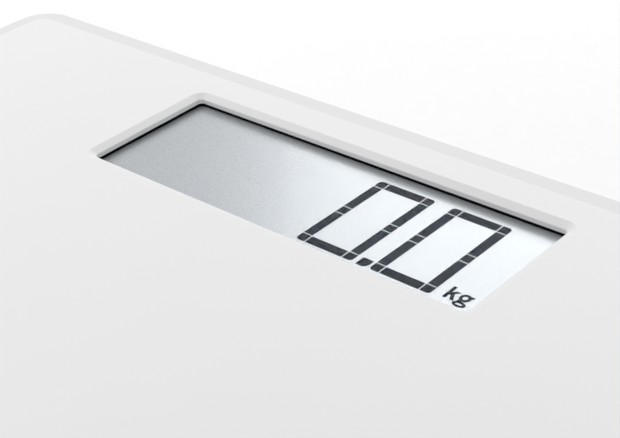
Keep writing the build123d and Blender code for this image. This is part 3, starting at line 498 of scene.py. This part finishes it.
class SCALE_OT_finish_electronics(bpy.types.Operator):
    """Gives the board, its parts, the battery, the cells and the leads their finishes"""

    bl_idname = "scale_parts.finish_electronics"
    bl_label = "Finish Electronics"

    def execute(self, context):
        dress(board_material(), "circuit_board")
        epoxy = surface("black_epoxy", (0.012, 0.012, 0.013), 0.35, 0.4 * MM, 0.01 * MM)
        dress(epoxy, "controller_blob", "amplifier_chip", "chip_resistors")
        switch = surface("switch_moulding", (0.025, 0.025, 0.027), 0.5, 0.5 * MM, 0.01 * MM)
        dress(switch, "unit_switch_body", "unit_switch_plunger")
        dress(surface("ceramic", (0.42, 0.30, 0.18), 0.6, 0.3 * MM, 0.01 * MM), "chip_capacitors")
        dress(surface("nylon", (0.72, 0.70, 0.64), 0.5, 0.5 * MM, 0.01 * MM), "lead_sockets")
        tinned = surface("tinned", (0.72, 0.71, 0.68), 0.28, 0.5 * MM, 0.004 * MM, 1.0)
        dress(tinned, "amplifier_legs", "crystal", "battery_contact_minus", "battery_contact_plus")
        zinc = surface("zinc_plate", (0.60, 0.62, 0.65), 0.35, 0.5 * MM, 0.006 * MM, 1.0)
        dress(zinc, "base_screws", "board_screws", "holder_screws")
        nickel = surface("nickel", (0.70, 0.69, 0.66), 0.22, 0.6 * MM, 0.003 * MM, 1.0)
        dress(nickel, "battery_cell")
        spring = surface("spring_steel", (0.52, 0.52, 0.53), 0.38, 0.8 * MM, 0.01 * MM, 1.0)
        dress(spring, *("load_cell_" + corner for corner in CORNERS))
        sealant = surface("sealant", (0.80, 0.80, 0.77), 0.55, 1.5 * MM, 0.05 * MM)
        dress(sealant, *("strain_gauge_" + corner for corner in CORNERS))
        leads = wire_material("lead_pvc", [RED_PVC, BLACK_PVC, WHITE_PVC])
        dress(leads, *("cell_lead_" + corner for corner in CORNERS))
        dress(wire_material("black_pvc", [BLACK_PVC, BLACK_PVC]), "battery_lead_minus")
        dress(wire_material("red_pvc", [RED_PVC, RED_PVC]), "battery_lead_plus")
        return {"FINISHED"}


# ---------------------------------------------------------------- foot pads
def pad_profile(radius, top, depth):
    """Half section of a pad from its middle to its rim, as (radius, height, grooved)."""
    edge = 0.6 * MM
    turns = [t * pi / 8 for t in range(5)]
    arc = [(radius - edge + edge * sin(turn), edge - edge * cos(turn)) for turn in turns]
    points = [(0.0, depth, False), (0.18 * radius, depth, False), (0.22 * radius, 0.0, False)]
    points += [(0.52 * radius, 0.0, False), (0.55 * radius, depth, False)]
    points += [(0.61 * radius, depth, False), (0.64 * radius, 0.0, True)]
    points += [(0.9 * radius, 0.0, True)]
    points += [(r, z, False) for r, z in arc]
    points += [(radius, top - 0.2 * MM, False), (radius - 0.2 * MM, top, False), (0.0, top, False)]
    return points


def build_pad(name, feet):
    """Turned rubber disc whose outer band is cut into radial treads."""
    low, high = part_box(name)
    middle = (low + high) / 2
    radius = (high.x - low.x) / 2
    steps = feet.treads * STEPS_PER_TREAD
    mesh = bmesh.new()
    rings = []
    for r, z, grooved in pad_profile(radius, high.z - low.z, feet.tread_depth):
        if r == 0.0:
            rings.append([mesh.verts.new((middle.x, middle.y, low.z + z))])
            continue
        row = []
        for k in range(steps):
            turn = 2 * pi * k / steps
            lift = feet.tread_depth if grooved and k % STEPS_PER_TREAD in (0, 1) else 0.0
            x = middle.x + r * cos(turn)
            y = middle.y + r * sin(turn)
            row.append(mesh.verts.new((x, y, low.z + z + lift)))
        rings.append(row)
    for first, second in zip(rings, rings[1:]):
        for k in range(steps):
            after = (k + 1) % steps
            if len(first) == 1:
                mesh.faces.new((first[0], second[after], second[k]))
            elif len(second) == 1:
                mesh.faces.new((first[k], first[after], second[0]))
            else:
                mesh.faces.new((first[k], first[after], second[after], second[k]))
    bmesh.ops.recalc_face_normals(mesh, faces=mesh.faces)
    data = bpy.data.meshes.new("rubber_" + name)
    mesh.to_mesh(data)
    mesh.free()
    pad = bpy.data.objects.new("rubber_" + name, data)
    bpy.context.scene.collection.objects.link(pad)
    return pad


class SCALE_OT_make_pads(bpy.types.Operator):
    """Builds the four rubber foot pads with their treads"""

    bl_idname = "scale_parts.make_pads"
    bl_label = "Make Foot Pads"

    def execute(self, context):
        feet = context.scene.scale_feet
        tint = tuple(feet.rubber_colour)
        rubber = surface("pad_rubber", tint, 0.7, 0.5 * MM, 0.02 * MM, 0.0, 0.08)
        for corner in CORNERS:
            name = "foot_pad_" + corner
            pad = build_pad(name, feet)
            pad.data.materials.append(rubber)
            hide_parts(name)
            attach(pad, "foot_" + corner)
        return {"FINISHED"}


# ---------------------------------------------------------------- stage
def aim(place, target, roll=0.0):
    """Matrix of something at a place that looks at a target."""
    turn = (target - place).to_track_quat("-Z", "Y").to_matrix().to_4x4()
    return Matrix.Translation(place) @ turn @ Matrix.Rotation(roll, 4, "Z")


def direction(azimuth, elevation):
    """Unit vector that points away from the scale, azimuth from +Y towards -X."""
    level = cos(elevation)
    return Vector((-sin(azimuth) * level, cos(azimuth) * level, sin(elevation)))


def add_softbox(name, box, centre, watts):
    """Rectangular area lamp that faces a point."""
    azimuth, elevation, distance, width, height = box
    lamp = bpy.data.lights.new(name, "AREA")
    lamp.shape = "RECTANGLE"
    lamp.size = width
    lamp.size_y = height
    lamp.energy = watts
    holder = bpy.data.objects.new(name, lamp)
    place = centre + direction(radians(azimuth), radians(elevation)) * distance
    holder.matrix_world = aim(place, centre)
    bpy.context.scene.collection.objects.link(holder)


def add_floor(studio):
    """Large pale floor."""
    half = studio.floor_size / 2
    mesh = bmesh.new()
    bmesh.ops.create_grid(mesh, x_segments=8, y_segments=8, size=half)
    data = bpy.data.meshes.new("floor")
    mesh.to_mesh(data)
    mesh.free()
    floor = bpy.data.objects.new("floor", data)
    bpy.context.scene.collection.objects.link(floor)
    tint = tuple(studio.floor_colour)
    data.materials.append(surface("floor_paint", tint, 0.6, 4 * MM, 0.01 * MM, 0.0, 0.01))


def add_sky(studio):
    """Even light from all round."""
    world = bpy.data.worlds.new("studio_sky")
    world.use_nodes = True
    world.node_tree.nodes["Background"].inputs["Color"].default_value = (1.0, 1.0, 1.0, 1.0)
    world.node_tree.nodes["Background"].inputs["Strength"].default_value = studio.sky
    bpy.context.scene.world = world


def add_camera(studio):
    """Camera close over the display corner of the platform."""
    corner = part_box("lcd_digits")[0]
    aim_x = corner.x + studio.aim_across
    aim_y = corner.y + studio.aim_up
    target = Vector((aim_x, aim_y, node_top("platform")))
    away = direction(studio.azimuth + pi, studio.elevation)
    place = target + away * studio.distance
    lens = bpy.data.cameras.new("view_camera")
    lens.lens = studio.lens
    lens.sensor_width = 36.0
    lens.clip_start = 0.01
    holder = bpy.data.objects.new("view_camera", lens)
    holder.matrix_world = aim(place, target, studio.roll)
    bpy.context.scene.collection.objects.link(holder)
    bpy.context.scene.camera = holder


class SCALE_OT_make_stage(bpy.types.Operator):
    """Makes the floor, the sky, the softboxes and the camera"""

    bl_idname = "scale_parts.make_stage"
    bl_label = "Make Stage"

    def execute(self, context):
        studio = context.scene.scale_studio
        add_camera(studio)
        add_floor(studio)
        add_sky(studio)
        display = node_middle("lcd_front_glass")
        add_softbox("back_softbox", BACK_SOFTBOX, display, studio.back_power)
        add_softbox("side_softbox", SIDE_SOFTBOX, display, studio.side_power)
        add_softbox("left_softbox", LEFT_SOFTBOX, display, studio.left_power)
        context.scene.view_settings.view_transform = "Standard"
        return {"FINISHED"}


# ---------------------------------------------------------------- sidebar
class SCALE_PT_sidebar(bpy.types.Panel):
    """Lists the steps that finish the scale"""

    bl_idname = "SCALE_PT_sidebar"
    bl_label = "Bathroom Scale"
    bl_space_type = "VIEW_3D"
    bl_region_type = "UI"
    bl_category = "Scale"

    def draw(self, context):
        for step in STEPS:
            self.layout.operator(step.bl_idname, text=step.bl_label)


STEPS = (
    SCALE_OT_make_stage,
    SCALE_OT_finish_housing,
    SCALE_OT_finish_display,
    SCALE_OT_finish_electronics,
    SCALE_OT_make_pads,
)
GROUPS = {
    "scale_housing": SCALE_PG_housing,
    "scale_display": SCALE_PG_display,
    "scale_feet": SCALE_PG_feet,
    "scale_studio": SCALE_PG_studio,
}


def register():
    for group in GROUPS.values():
        bpy.utils.register_class(group)
    for step in STEPS:
        bpy.utils.register_class(step)
    bpy.utils.register_class(SCALE_PT_sidebar)
    for name, group in GROUPS.items():
        setattr(bpy.types.Scene, name, PointerProperty(type=group))


def unregister():
    for name in GROUPS:
        delattr(bpy.types.Scene, name)
    bpy.utils.unregister_class(SCALE_PT_sidebar)
    for step in reversed(STEPS):
        bpy.utils.unregister_class(step)
    for group in GROUPS.values():
        bpy.utils.unregister_class(group)


def main():
    register()
    bpy.ops.scale_parts.make_stage()
    bpy.ops.scale_parts.finish_housing()
    bpy.ops.scale_parts.finish_display()
    bpy.ops.scale_parts.finish_electronics()
    bpy.ops.scale_parts.make_pads()


if __name__ == "__main__":
    main()
